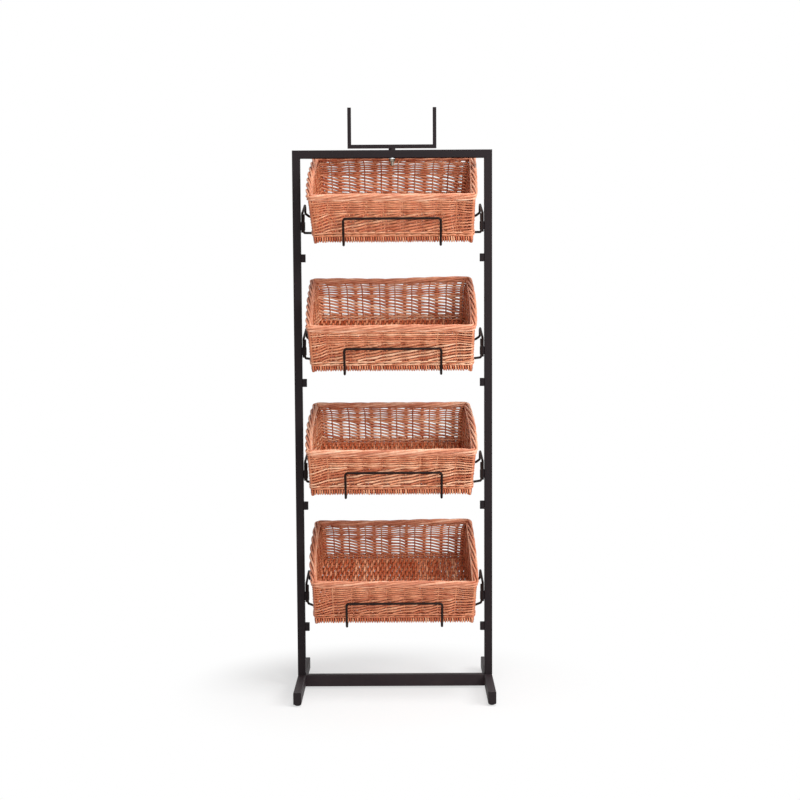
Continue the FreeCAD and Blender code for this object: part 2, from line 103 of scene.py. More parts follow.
# %% [markdown]
# The gate and the base are welded steel with a polyester powder coat, baked on at about 190 C.
# The powder melts into a skin some 80 microns thick with a faint orange peel, waves of about
# 1.5 mm, so its sheen breaks up softly. Handling polishes it a little in patches, and the
# crossbar and feet get a lighter coat than the gate. A noise as fine as the peel makes the bump.
# A broad one sets both sheen and colour, so that a polished patch is also the one without dust.

# %% Powder-coated steel
PATCH_SIZE = 70 * MM      # a patch that hands have polished
PEEL_HEIGHT = 0.08 * MM
COAT_SPECULAR = 0.12      # the matt powder mirrors little


def matt_skin(name, colour, dusty, grain_mm, rough_low, rough_high):
    """Roughness and colour follow the patches, from the lower value to the higher one."""
    m = new_material(name)
    where = add_node(m, "ShaderNodeTexCoord").outputs["Object"]
    peel = add_node(m, "ShaderNodeTexNoise", inputs={
        "Vector": where, "Scale": 1 / (grain_mm * MM), "Detail": 2.0, "Roughness": 0.5})
    patches = add_node(m, "ShaderNodeTexNoise", inputs={
        "Vector": where, "Scale": 1 / PATCH_SIZE, "Detail": 4.0, "Roughness": 0.6})
    sheen = add_node(m, "ShaderNodeMapRange", inputs={
        "Value": patches.outputs["Fac"], "From Min": 0.3, "From Max": 0.7,
        "To Min": rough_low, "To Max": rough_high})
    skin = add_node(m, "ShaderNodeValToRGB", inputs={"Fac": patches.outputs["Fac"]},
                    stops=[(0.3, colour), (0.75, dusty)])
    bump = add_node(m, "ShaderNodeBump", inputs={
        "Height": peel.outputs["Fac"], "Strength": 0.25, "Distance": PEEL_HEIGHT})
    shader = add_node(m, "ShaderNodeBsdfPrincipled", inputs={
        "Base Color": skin.outputs["Color"], "Roughness": sheen.outputs["Result"], "IOR": 1.5,
        "Specular IOR Level": COAT_SPECULAR, "Normal": bump.outputs["Normal"]})
    return finish_material(m, shader.outputs["BSDF"])


FRAME_COAT = matt_skin("black_brown_powder_coat", "#1B1417", "#231C1E", 1.5, 0.42, 0.58)
# the crossbar and feet get a lighter coat than the gate
BASE_COAT = matt_skin("lighter_black_brown_powder_coat", "#281F22", "#322A2C", 1.5, 0.46, 0.62)
print("made", FRAME_COAT.name, "and", BASE_COAT.name)

# %% [markdown]
# The wire trays are bent from 6 mm round steel wire and dipped in a black coating. It is smoother
# and darker than the powder coat, and its waves are twice as long. Its black carries a red tint,
# a painted reflection of the willow baskets that stand beside the wires.

# %% Black coated wire
# black coat with a red tint that is painted reflection of the willow
WIRE_COAT = matt_skin("black_dipped_wire_painted_reflection", "#190C0A", "#20130F", 3.0, 0.34, 0.46)
print("made", WIRE_COAT.name)

# %% [markdown]
# Nuts, washers and studs are bright zinc plated: a blue-white metal with a fine grain from the
# barrel they are plated in. It is metallic, and its roughness changes in flecks. The real ones
# are too fine to show, so they are drawn at 2 mm. The card holder's stud and nut are plain
# steel with oil in the thread, so they look darker.

# %% Bright zinc plating and oiled steel
FLECK_SIZE = 2.0 * MM


def flecked_metal(name, dull, bright, rough_low, rough_high):
    """Roughness and colour follow the flecks; everything else is the bare metal's own."""
    m = new_material(name)
    where = add_node(m, "ShaderNodeTexCoord").outputs["Object"]
    flecks = add_node(m, "ShaderNodeTexNoise", inputs={
        "Vector": where, "Scale": 1 / FLECK_SIZE, "Detail": 3.0, "Roughness": 0.6})
    rough = add_node(m, "ShaderNodeMapRange", inputs={
        "Value": flecks.outputs["Fac"], "From Min": 0.3, "From Max": 0.7,
        "To Min": rough_low, "To Max": rough_high})
    tint = add_node(m, "ShaderNodeValToRGB", inputs={"Fac": flecks.outputs["Fac"]},
                    stops=[(0.3, dull), (0.7, bright)])
    shader = add_node(m, "ShaderNodeBsdfPrincipled", inputs={
        "Base Color": tint.outputs["Color"], "Metallic": 1.0,
        "Roughness": rough.outputs["Result"]})
    return finish_material(m, shader.outputs["BSDF"])


ZINC = flecked_metal("bright_zinc_plating", "#C9CCD0", "#DDDFE1", 0.22, 0.42)
OILED = flecked_metal("oiled_rolled_thread", "#645C53", "#7D7468", 0.4, 0.55)
print("made", ZINC.name, "and", OILED.name)

# %% [markdown]
# The end covers and the pads of the levelling feet are moulded polyethylene. The steel mould is
# spark eroded, which leaves an even matt grain of a tenth of a millimetre. That is too fine to
# show, so it is drawn at a millimetre.

# %% Black moulded plastic
MOULDING = matt_skin("black_moulded_polyethylene", "#1F191B", "#272123", 1.0, 0.5, 0.62)
print("made", MOULDING.name)

# %% [markdown]
# Every tube, wire and fastener is already built as its own node, with its bends and edges as
# they are, so here it only needs a finish. Its name says what it is. The plain blocks of the
# baskets get none, because the weave takes their place.

# %% Give each steel node its finish
def coat_of(name):
    """The finish that goes with a node's name."""
    if name.startswith("tray_") and name.endswith("wire"):
        return WIRE_COAT
    if name.startswith(("foot_end_caps", "leveller_pad")):
        return MOULDING
    if name in ("holder_stud", "holder_nut"):
        return OILED
    if name.startswith(("leveller_", "upright_bolts", "upright_washers", "upright_nut",
                        "holder_washer")):
        return ZINC
    if name in ("crossbar", "foot_left", "foot_right"):
        return BASE_COAT
    return FRAME_COAT


steel = [name for name in nodes if not name.startswith("basket_")]
for name in steel:
    for slot in nodes[name].material_slots:
        slot.material = coat_of(name)
print("finishes given to", len(steel), "nodes")

# %% [markdown]
# Buff willow is peeled after boiling, and the tannin of the bark stains it orange-brown. Each
# rod has its own tone, paler where it was cut or worn, with streaks along its length. The
# sides of a rod that face its neighbours are darkened with painted shade, the shade that falls
# in the gaps between rods. So the weave stores three numbers at every point: which rod it is,
# how far along that rod, and how free its side is of that painted shade.
# Fibres are finer than half a millimetre, too fine to show, and are drawn at 2.2 mm.

# %% Buff willow
STREAK_LENGTH = 26 * MM   # a shade along a rod lasts two or three centimetres
FIBRE_SIZE, FIBRE_HEIGHT = 2.2 * MM, 0.25 * MM
ROD_SPACING = 97.0        # sets the rods' streaks far apart in the noise
ROD_WEIGHT, FIBRE_WEIGHT = 0.5, 0.25     # against a weight of 1 for the streaks
# painted shade of the gaps between rods, on the sides that face a neighbour
PAINTED_GAP_SHADE = "#7A3216"


def willow(name, dark, middle, pale, rough):
    """Shade = (streaks + rod weight * rod + fibre weight * fibres) / sum of the weights. A ramp
    turns it into a colour, and painted shade darkens the sides that face neighbouring rods."""
    m = new_material(name)
    rod = add_node(m, "ShaderNodeAttribute", {"attribute_name": "rod"}).outputs["Fac"]
    along = add_node(m, "ShaderNodeAttribute", {"attribute_name": "along"}).outputs["Fac"]
    steps = add_node(m, "ShaderNodeMath", {"operation": "DIVIDE"}, {0: along, 1: STREAK_LENGTH})
    number = add_node(m, "ShaderNodeMath", {"operation": "MULTIPLY"}, {0: rod, 1: ROD_SPACING})
    place = add_node(m, "ShaderNodeCombineXYZ", inputs={
        "X": steps.outputs[0], "Y": number.outputs[0]})
    streaks = add_node(m, "ShaderNodeTexNoise", inputs={
        "Vector": place.outputs[0], "Scale": 1.0, "Detail": 3.0, "Roughness": 0.65})
    where = add_node(m, "ShaderNodeTexCoord").outputs["Object"]
    fibres = add_node(m, "ShaderNodeTexNoise", inputs={
        "Vector": where, "Scale": 1 / FIBRE_SIZE, "Detail": 3.0, "Roughness": 0.6})
    shade = add_node(m, "ShaderNodeMath", {"operation": "MULTIPLY_ADD"},
                     {0: rod, 1: ROD_WEIGHT, 2: streaks.outputs["Fac"]})
    shade = add_node(m, "ShaderNodeMath", {"operation": "MULTIPLY_ADD"},
                     {0: fibres.outputs["Fac"], 1: FIBRE_WEIGHT, 2: shade.outputs[0]})
    shade = add_node(m, "ShaderNodeMath", {"operation": "DIVIDE"},
                     {0: shade.outputs[0], 1: 1 + ROD_WEIGHT + FIBRE_WEIGHT})
    colour = add_node(m, "ShaderNodeValToRGB", inputs={"Fac": shade.outputs[0]},
                      stops=[(0.3, dark), (0.5, middle), (0.7, pale)])
    # painted shade: a rod's colour fades to the dark gap colour on the sides that face its
    # neighbours
    unshaded_share = add_node(m, "ShaderNodeAttribute", {"attribute_name": "unshaded_share"}).outputs["Fac"]
    shade_fade = add_node(m, "ShaderNodeMapRange", inputs={
        "Value": unshaded_share, "From Min": 0.2, "From Max": 0.85})
    mixed = add_node(m, "ShaderNodeMixRGB", inputs={
        "Fac": shade_fade.outputs["Result"], "Color1": linear(PAINTED_GAP_SHADE),
        "Color2": colour.outputs["Color"]})
    bump = add_node(m, "ShaderNodeBump", inputs={
        "Height": fibres.outputs["Fac"], "Strength": 0.3, "Distance": FIBRE_HEIGHT})
    shader = add_node(m, "ShaderNodeBsdfPrincipled", inputs={
        "Base Color": mixed.outputs["Color"], "Roughness": rough, "IOR": 1.5,
        "Normal": bump.outputs["Normal"]})
    return finish_material(m, shader.outputs["BSDF"])


ROD_FINISH = willow("buff_willow_rods", "#B65B36", "#DF8E65", "#F9C19B", 0.42)
STAKE_FINISH = willow("buff_willow_stakes", "#9E4A2A", "#C46F48", "#DE9A72", 0.5)
# paler and pinker than the rods: painted light, for the light the rims catch from above
BORDER_FINISH = willow("buff_willow_border_painted_light", "#B9694A", "#DB9370", "#F3C2A3", 0.42)
# darker and redder than the rods: painted shade, for the shade inside the baskets
FLOOR_FINISH = willow("buff_willow_floor_painted_shade", "#A9471F", "#D4744A", "#F8B78D", 0.45)
print("made four finishes of buff willow")

# %% [markdown]
# A rod is a path with a round section carried along it. Hundreds of rods are worked out at once
# as one array: the paths, a direction across them, and a ring of points round every path point.

# %% Rods from paths
SIDES = 8
STREAK_SHIFT = 5.0        # a rod's streaks start anywhere in this length, in metres


def rod_mesh(batches):
    """Round rods as one mesh. Each batch is (paths, radii, toward, closed): paths has shape
    (rods, samples, 3). Ring point = path + radius * (across * cos a + toward' * sin a), where
    toward' is the given direction made square to the path and across is square to both. A rod
    that is pressed flat has two radii at each sample, across and toward'."""
    points, faces, rod_numbers, lengths, unshaded_shares = [], [], [], [], []
    start = 0
    angles = np.arange(SIDES) * 2 * pi / SIDES
    for paths, radii, toward, closed in batches:
        rods, samples = paths.shape[:2]
        if closed:
            ahead = np.roll(paths, -1, axis=1) - np.roll(paths, 1, axis=1)
        else:
            ahead = np.gradient(paths, axis=1)
        ahead /= np.linalg.norm(ahead, axis=2, keepdims=True)
        toward = np.broadcast_to(np.asarray(toward, float), ahead.shape)
        square = toward - (toward * ahead).sum(2, keepdims=True) * ahead
        square /= np.linalg.norm(square, axis=2, keepdims=True)
        across = np.cross(square, ahead)
        radii = np.asarray(radii, float)
        radii = np.broadcast_to(radii if radii.ndim == 3 else radii[..., None], (rods, samples, 2))
        ring = (paths[:, :, None, :]
                + radii[:, :, None, :1] * across[:, :, None, :] * np.cos(angles)[:, None]
                + radii[:, :, None, 1:] * square[:, :, None, :] * np.sin(angles)[:, None])
        points.append(ring.reshape(-1, 3))
        step = np.linalg.norm(np.diff(paths, axis=1, prepend=paths[:, :1]), axis=2)
        length = np.cumsum(step, axis=1) + RANDOM.uniform(0, STREAK_SHIFT, (rods, 1))
        lengths.append(np.repeat(length.ravel(), SIDES))
        rod_numbers.append(np.repeat(RANDOM.random(rods), samples * SIDES))
        # painted shade mask: 1 on the sides facing across, 0 on those facing toward', where rods
        # meet
        unshaded_shares.append(np.tile(np.abs(np.cos(angles)), rods * samples))
        index = start + np.arange(rods * samples * SIDES).reshape(rods, samples, SIDES)
        here = index if closed else index[:, :-1]
        there = np.roll(index, -1, axis=1) if closed else index[:, 1:]
        quads = np.stack([here, np.roll(here, -1, axis=2), np.roll(there, -1, axis=2), there], -1)
        faces.append(quads.reshape(-1, 4))
        if not closed:
            k = np.arange(SIDES // 2 - 1)
            cap = np.stack([-k % SIDES, k + 1, k + 2, (-k - 1) % SIDES], -1)
            faces.append(index[:, -1][:, cap].reshape(-1, 4))
            faces.append(index[:, 0][:, cap[:, ::-1]].reshape(-1, 4))
        start += index.size
    return (np.concatenate(points), np.concatenate(faces), np.concatenate(rod_numbers),
            np.concatenate(lengths), np.concatenate(unshaded_shares))


# %% [markdown]
# All rods of one kind in a basket go into one mesh, which is lighter than an object for each
# rod. foreach_set hands whole arrays to Blender at once, and the three numbers of the willow
# become attributes of the points.

# %% A piece from its rods
def add_piece(name, batches, finish, body, replaced=None, twisted=False, paleness=1.0):
    """Makes the rods one object, which rides on its body and stands for the plain block. A
    twisted piece gets no painted shade on its sides, as its strands turn as they go. Paleness
    scales the rod numbers, so a batch of willow can be darker or paler than the rest."""
    points, faces, rod_numbers, lengths, unshaded_shares = rod_mesh(batches)
    rod_numbers = rod_numbers * paleness
    # twisted pieces get no painted shade on their sides
    unshaded_shares = np.ones_like(unshaded_shares) if twisted else unshaded_shares
    mesh = bpy.data.meshes.new(name)
    mesh.vertices.add(len(points))
    mesh.vertices.foreach_set("co", points.astype(np.float32).ravel())
    mesh.loops.add(faces.size)
    mesh.loops.foreach_set("vertex_index", faces.astype(np.int32).ravel())
    mesh.polygons.add(len(faces))
    mesh.polygons.foreach_set("loop_start", np.arange(0, faces.size, 4, dtype=np.int32))
    mesh.update(calc_edges=True)
    mesh.shade_smooth()
    for label, values in (("rod", rod_numbers), ("along", lengths), ("unshaded_share", unshaded_shares)):
        attribute = mesh.attributes.new(label, "FLOAT", "POINT")
        attribute.data.foreach_set("value", values.astype(np.float32))
    mesh.materials.append(finish)
    piece = bpy.data.objects.new(name, mesh)
    bpy.context.scene.collection.objects.link(piece)
    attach(piece, body)
    if replaced:
        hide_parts(replaced)
    print(name, "triangles", 2 * len(faces))


# %% [markdown]
# A basket's walls lean out a little, so its plan is measured at two heights, the underside and
# the rim, and every height between is mixed from those two. The place along the plan is counted
# in stakes: 0, 18, 30 and 48 are the corner posts, and every whole number has a stake.

# %% The basket's plan
HEIGHT, DEPTH = 124.0, 300.0
FLARE, BACK_FLARE = 10.0, 6.0     # the rim's overhang at the front and sides, and at the back
RIM_HALF = 207.0
FRONT_BAYS, SIDE_BAYS = 18, 12
CORNERS = np.cumsum([0, FRONT_BAYS, SIDE_BAYS, FRONT_BAYS, SIDE_BAYS])
STAKES = int(CORNERS[-1])
MID_WALL = 5.2            # from the wall's outside in to the middle of the weave
MID_CORNER = 8.0          # corner radius there
ARC_POINTS = 9            # points of a quarter circle; the middle one is a corner post


def plan_at(rim):
    """Rounded rectangle through the middle of the weave, at the underside or the rim, as the
    stake count, x, u, normal x and normal u of its points. Corner point = centre + corner radius
    * (cos a, sin a), and between posts the count grows with the length travelled. The first
    quarter circle comes again at the end, so that the count runs past its last post."""
    half = RIM_HALF - MID_WALL - (0.0 if rim else FLARE)
    front = MID_WALL - (FLARE if rim else 0.0)
    back = DEPTH - FLARE - MID_WALL - (0.0 if rim else BACK_FLARE)
    rows = []
    for x, u, heading in ((-half, front, 225), (half, front, 315), (half, back, 45),
                          (-half, back, 135)):
        centre_x = x - np.sign(x) * MID_CORNER
        centre_u = u + (MID_CORNER if u == front else -MID_CORNER)
        for turn in np.linspace(-45, 45, ARC_POINTS):
            a = radians(heading + turn)
            rows.append((centre_x + MID_CORNER * cos(a), centre_u + MID_CORNER * sin(a),
                         cos(a), sin(a)))
    x, u, normal_x, normal_u = np.array(rows + rows[:ARC_POINTS]).T
    travelled = np.concatenate([[0], np.cumsum(np.hypot(np.diff(x), np.diff(u)))])
    before = ARC_POINTS // 2
    posts = travelled[before::ARC_POINTS]
    count = np.interp(travelled, posts, CORNERS)
    per_length = FRONT_BAYS / (posts[1] - posts[0])
    count[:before] = (travelled[:before] - posts[0]) * per_length
    count[-before:] = STAKES + (travelled[-before:] - posts[-1]) * per_length
    return count, x, u, normal_x, normal_u


UNDERSIDE, RIM = plan_at(False), plan_at(True)


def on_wall(count, v, out):
    """Point of the wall = underside * (1 - height share) + rim * height share + out * normal."""
    count = np.mod(count, STAKES)
    low, high = ([np.interp(count, plan[0], plan[i]) for i in (1, 2, 3, 4)]
                 for plan in (UNDERSIDE, RIM))
    share = v / HEIGHT
    x, u, nx, nu = (a * (1 - share) + b * share for a, b in zip(low, high))
    size = np.hypot(nx, nu)
    return x + out * nx / size, u + out * nu / size


print("stakes", STAKES, "corner posts at", CORNERS[:4])

# %% [markdown]
# No two baskets match: each was pulled a few millimetres out of square by hand. Its left and
# right ends are measured along x at four places, and the weave is stretched to them. The sides
# bow out a little between front and back, and the rim rises higher at some corners than others.

# %% Hand-made differences
SHAPES = {   # left and right end: front rim, front underside, back rim, back underside
    1: ((-207.3, 205.6), (-194.9, 200.6), (-203.0, 211.2), (-198.0, 203.0)),
    2: ((-211.0, 203.6), (-203.5, 199.4), (-212.8, 201.0), (-208.0, 199.0)),
    3: ((-214.6, 206.6), (-208.6, 196.4), (-209.0, 195.5), (-204.0, 193.0)),
    4: ((-205.0, 208.0), (-202.7, 201.7), (-207.0, 200.5), (-203.7, 196.9)),
}
BACK_SHIFTS = {   # how far the back stakes stand off an even spacing, at the right and the left
    1: (0.2, 0.5), 2: (0.35, 0.48), 3: (0.2, 0.5), 4: (0.0, 0.6),
}
BACK_GIRTHS = {1: 0.5, 2: 0.32, 3: 0.26, 4: 0.18}    # how much stouter the back rods are
WALL_PALENESS = {1: 0.75, 2: 1.25, 3: 1.15, 4: 0.5}
BACK_TUCK = 0.045         # share of the width by which the weave is pulled in at the back
TUCK_TOP, TUCK_FADE = 114.0, 10.0        # no tuck above this height, all of it this much lower
OVER_RIM = 1.1            # share of the height up to which the shape goes on changing
BOWS = {1: (4.5, 1.0), 2: (2.0, 5.0), 3: (7.0, 4.5), 4: (7.7, 1.0)}      # left and right side
RISES = {    # how much higher the rim stands: front, back left, back middle, back right
    1: (2.0, 2.0, 2.0, 2.0), 2: (2.0, 4.0, 4.0, 10.0),
    3: (2.0, 3.0, 3.5, 5.0), 4: (2.5, 5.0, 4.5, 8.5),
}
print("front rims, mm wide:", [round(rim[1] - rim[0], 1) for rim, *_ in SHAPES.values()])


def warp(tier, x, u, v):
    """x and v of this basket. Across = share of the regular width. New x = left end + across *
    (right end - left end) + bow * sin(pi * depth share); new v = v + height share * rise.
    Below the border x is drawn in towards the back."""
    share = np.clip(v / HEIGHT, 0, OVER_RIM)
    back = np.clip(u / (DEPTH - 2 * FLARE), 0, 1)
    half = RIM_HALF - FLARE * (1 - share)
    across = (x + half) / (2 * half)
    left, right = (
        (low * (1 - share) + rim * share) * (1 - back)
        + (far_low * (1 - share) + far * share) * back
        for rim, low, far, far_low in zip(*SHAPES[tier]))
    bow_left, bow_right = BOWS[tier]
    bow = share * np.sin(pi * back) * (bow_right * across - bow_left * (1 - across))
    front, far_left, far_middle, far_right = RISES[tier]
    far = np.interp(across, (0, 0.5, 1), (far_left, far_middle, far_right))
    drawn_in = 1 - BACK_TUCK * back * np.clip((TUCK_TOP - v) / TUCK_FADE, 0, 1)
    return (drawn_in * (left + (right - left) * across + bow),
            v + share * (front * (1 - back) + far * back))


# %% [markdown]
# Each basket stands in its tray, leaning forward. Its lean is read from the joint that takes it
# out, and its corner from two of the plain blocks that mark its place.

# %% Where each basket stands
UNEVEN = 0.18             # a stake stands up to this share of a bay off its place


def lean_of(tier):
    """A tray's tilt. The top basket slides back along its tray, the others lift square to it."""
    axis = next(j["axis"] for j in frame["joints"] if j["child"] == f"basket_{tier}")
    return atan2(axis[2], axis[1]) if tier == 1 else atan2(-axis[1], axis[2])


def block_points(name):
    """The points of a plain block, in metres."""
    mesh = nodes[name].data
    co = np.empty(len(mesh.vertices) * 3, np.float32)
    mesh.vertices.foreach_get("co", co)
    return co.reshape(-1, 3).astype(float)


print("trays tilt, in degrees:", [round(degrees(lean_of(tier)), 1) for tier in (1, 2, 3, 4)])


class Basket:
    """One basket's own axes: x across, u back along the tray, v up out of it."""

    def __init__(self, tier):
        self.tier = tier
        t = lean_of(tier)
        self.back = np.array([0.0, cos(t), sin(t)])
        self.up = np.array([0.0, -sin(t), cos(t)])
        base, border = (block_points(f"basket_{tier}_{part}") for part in ("base", "border"))
        self.v0 = (base @ self.up).min()
        self.u0 = (border @ self.back).min() + FLARE * MM
        phases = RANDOM.uniform(0, 2 * pi, (2, 3))
        self.slow_phase, self.quick_phase = phases[0, :2]
        self.out_phase = phases[1, 0]
        jitter = RANDOM.uniform(-UNEVEN, UNEVEN, STAKES + 1)
        jitter[CORNERS] = 0.0
        jitter[CORNERS[2] + 1:CORNERS[3]] += np.linspace(*BACK_SHIFTS[tier], FRONT_BAYS - 1)
        self.stake_at = np.arange(STAKES + 1) + jitter

    def place(self, x, u, v):
        """Point = x * right + (u0 + u) * back + (v0 + v) * up, after this basket's warp."""
        x, u, v = np.broadcast_arrays(x, u, v)
        x, v = warp(self.tier, x, u, v)
        return (x[..., None] * MM * np.array([1.0, 0.0, 0.0])
                + (self.u0 + u[..., None] * MM) * self.back
                + (self.v0 + v[..., None] * MM) * self.up)

    def waves(self, count):
        """How far the wall waves: up by sines of two and of five waves round, out by three."""
        turn = 2 * pi * count / STAKES
        up = 0.8 * np.sin(turn * 2 + self.slow_phase) + 0.6 * np.sin(turn * 5 + self.quick_phase)
        return up, 0.7 * np.sin(turn * 3 + self.out_phase)

    def wall(self, count, v, out):
        """Wall point at a stake count, with this basket's uneven stakes and slow waves."""
        whole = np.floor(count / STAKES)
        count = np.interp(count - whole * STAKES, np.arange(STAKES + 1), self.stake_at)
        share = np.clip(v / HEIGHT, 0, 1)
        wave_up, wave_out = self.waves(count)
        v = v + share * wave_up
        x, u = on_wall(count, v, out + share * wave_out)
        return self.place(x, u, v)


# %% [markdown]
# A wall rod swings from one side of the stakes to the other. It passes outside the even stakes
# and inside the odd ones, which are doubled, and the other way round on the front wall. A
# cosine of the stake count gives that swing, except beside the corner posts, where the rods
# stay on one side. The rows also dip there.

# %% Where the rods pass
PER_STAKE = 6            # samples of a rod from one stake to the next
ROUND = np.arange(STAKES * PER_STAKE)[None, :] / PER_STAKE      # stake counts of a full round
DIPS = (6.0, 4.5, 1.0, -3.0)     # how far rows sink at the four corner posts
DIP_REACH = 1.3          # in stakes
DIP_FROM, DIP_SPAN = 8.0, 110.0  # heights between which rows sink


def corner_dip(count, v):
    """Rows sink towards the corner posts, most halfway up the wall: sum over the posts of
    dip * exp(-(gap / reach) ** 2), times sin(pi * height share)."""
    gap = np.abs(count[..., None] - np.append(CORNERS[:4], STAKES + CORNERS[:4]))
    sink = (np.exp(-(gap / DIP_REACH) ** 2) * np.tile(DIPS, 2)).sum(-1)
    return -sink * np.sin(pi * np.clip((v - DIP_FROM) / DIP_SPAN, 0, 1))


def side_of_stakes(count):
    """1 where the rods pass outside the stakes and -1 inside: cos(pi * count), turned round on
    the front wall. It is 1 from each front post to the stake beside it, and -1 round the back
    posts from stake to stake."""
    count = np.mod(count, STAKES)
    wave = np.cos(pi * count)
    front = np.where((count > 1) & (count < FRONT_BAYS - 1), -wave, 1.0)
    side = np.where(count < FRONT_BAYS, front, wave)
    at_back_post = (np.abs(count - CORNERS[2]) < 1) | (np.abs(count - CORNERS[3]) < 1)
    return np.where(at_back_post, -1.0, side)


print("samples round a basket:", ROUND.size)

# %% [markdown]
# The rods aren't alike all round a basket. A thicker stretch closes the gaps and a thinner one
# lets daylight through. Where a rod crosses a pair of stakes it is pressed flat, so it gets two
# radii there, one through the wall and a wider one up it.

# %% How thick the rods are
FRONT_GIRTH = 0.3        # more radius in the middle of the front wall
POST_THINNING, POST_REACH = 0.4, 1.2     # less radius beside the front posts, in stakes
FRONT_PRESS = 0.9        # how flat the front wall's rods are pressed, against the others' 1
FLATTENING = 0.3         # what a pressed rod loses through the wall


def fullness(count):
    """1 in the middle of the front wall, where the rods are stoutest, and 0 past its ends: the
    root of sin(pi * share of the wall)."""
    return np.sin(pi * np.clip(np.mod(count, STAKES) / FRONT_BAYS, 0, 1)) ** 0.5


def girth(basket, count):
    """What the rods gain or lose in radius: stouter in the middle of the front wall and along
    the back wall, thinner by a bell curve beside each front post."""
    count = np.mod(count, STAKES)
    from_post = np.minimum(np.abs(count - 1), np.abs(count - FRONT_BAYS + 1))
    at_back = (count > CORNERS[2]) & (count < CORNERS[3])
    return (FRONT_GIRTH * fullness(count) + BACK_GIRTHS[basket.tier] * at_back
            - POST_THINNING * np.exp(-(from_post / POST_REACH) ** 2))


def pressed(count):
    """How flat a rod is pressed on a pair of stakes: 1 at the odd counts and 0 at the even
    ones, as the square of (1 - cos(pi * count)) / 2, and less near the front wall's ends."""
    flat = (0.5 - 0.5 * np.cos(pi * count)) ** 2
    at_front = np.mod(count, STAKES) < FRONT_BAYS
    return flat * np.where(at_front, FRONT_PRESS * fullness(count) ** 2, 1.0)


def radii_of(thick, count, widening):
    """The two radii of a wall rod: thinner through the wall and wider up it where pressed."""
    flat = pressed(count)
    return np.stack([thick - FLATTENING * flat, thick + widening * flat], -1) * MM


# %% [markdown]
# The lower wall is French randing. A rod starts behind each second stake and climbs one row for
# every two stakes, so the rows slope. Each rod has its own start and thickness and ends in a
# thin tip. All of them are one array: a column of starts added to a row of steps.

# %% Sloping rows
BEND = 1.8               # how far a rod swings round the stakes
ROW = 8.1                # from one row up to the next
LOWER_FROM, LOWER_ROWS, LOWER_TOP = 27.5, 6, 74.3        # first height, rows climbed and last
LOWER_RADIUS, LOWER_TAPER = 2.5, 0.3
LOWER_WIDENING = 1.25    # what a pressed rod gains up the wall
TIP_SHARE = 0.6          # of the radius is left at a sloping rod's tip


def randing(basket):
    """v = start + row * run / 2 up to the level top; the tips thin out beyond it."""
    starts = np.arange(0, STAKES, 2)[:, None] - 1.0
    last = 2 * LOWER_ROWS + 1
    run = np.linspace(0, last, last * PER_STAKE + 1)[None, :]
    count = starts + run
    climbed = np.minimum(LOWER_FROM + ROW * run / 2, LOWER_TOP)
    v = climbed + RANDOM.uniform(-0.5, 0.5, (len(starts), 1))
    v = v + corner_dip(np.mod(count, STAKES), v)
    thick = LOWER_RADIUS - LOWER_TAPER * run / last
    thick = thick + RANDOM.uniform(-0.25, 0.25, (len(starts), 1))
    thick = thick * np.interp(run, (last - 2, last), (1.0, TIP_SHARE))
    out = BEND * side_of_stakes(count)
    thick = thick + girth(basket, count)
    return basket.wall(count, v, out), radii_of(thick, count, LOWER_WIDENING), basket.up, False


print("sloping rods in a basket:", STAKES // 2)

# %% [markdown]
# Above the sloping rows lie a stouter rod and four finer ones, each once round the basket. A
# slow wave keeps them from lying dead level, and another changes their thickness.

# %% Level rows
LEVELS = np.array([      # height and radius of the stout row and the four finer ones
    (80.0, 2.4), (86.4, 1.9), (92.1, 1.85), (97.8, 1.85), (103.6, 1.9)])
LEVEL_BEND, LEVEL_WIDENING = 1.62, 0.85  # less than the sloping rows have


def level_rows(basket):
    """v = height + 0.5 * sin(2 pi * count / 15 + phase), less the dips at the posts."""
    phase = RANDOM.uniform(0, 2 * pi, (len(LEVELS), 1))
    v = LEVELS[:, :1] + 0.5 * np.sin(2 * pi * ROUND / 15 + phase)
    v = v + corner_dip(ROUND, LEVELS[:, :1])
    thick = LEVELS[:, 1:] + 0.15 * np.sin(2 * pi * ROUND / 20 + phase) + girth(basket, ROUND)
    out = LEVEL_BEND * side_of_stakes(ROUND)
    return basket.wall(ROUND, v, out), radii_of(thick, ROUND, LEVEL_WIDENING), basket.up, True


print("level rows:", len(LEVELS))

# %% [markdown]
# Two wales run below the sloping rows and tighten the foot of the wall. In a wale three rods
# are twisted round the stakes. They are one wave, drawn three times, a third of a turn apart.

# %% Wales
WALES = ((16.5, 2.2, 2.0, 2.4), (23.5, 2.1, 2.0, 2.0))     # height, radius, swing and lift


def wale(basket, v_middle, radius, swing, lift):
    """out = swing * (1 + 4 * cos(turn - pi / 3)) / 3, which is outside two stakes and inside the
    third, and v = middle + lift * sin(turn), with a turn for every three stakes."""
    turn = 2 * pi * (ROUND - np.arange(3)[:, None]) / 3
    out = swing * (1 / 3 + 4 / 3 * np.cos(turn - pi / 3))
    v = v_middle + lift * np.sin(turn)
    v = v + corner_dip(ROUND, v)
    return basket.wall(ROUND, v, out), radius * MM, basket.up, True


print("wales:", len(WALES))

# %% [markdown]
# The stakes stand on the free side of the rods, single at the even counts and in pairs at the
# odd ones. On the front wall the single ones are hidden among the rods. The four posts are
# stouter and end a little below the floor, as the basket's feet.

# %% Stakes and posts
STAKE_FROM, STAKE_TO = 9.0, 112.0
SINGLE_RADIUS, PAIRED_RADIUS = 1.6, 2.2
PAIR_SPREAD = 0.08       # each of a pair stands this share of a bay off the middle
SINGLE_OUT, PAIRED_OUT = -1.5, 0.0       # outwards from the middle of the weave
FRONT_SINGLE_OUT, FRONT_PAIRED_OUT = -1.2, -1.4
POST_HEIGHTS = np.array([[-4.0, -3.4, 5.0, 30.0, 60.0, 90.0, 112.0]])
POST_RADII = np.array([[3.4, 4.2, 4.5, 4.5, 4.5, 4.4, 4.2]])
FRONT_POST_OUT, BACK_POST_OUT = -0.5, 1.4
HELPER_SPREAD = 0.3


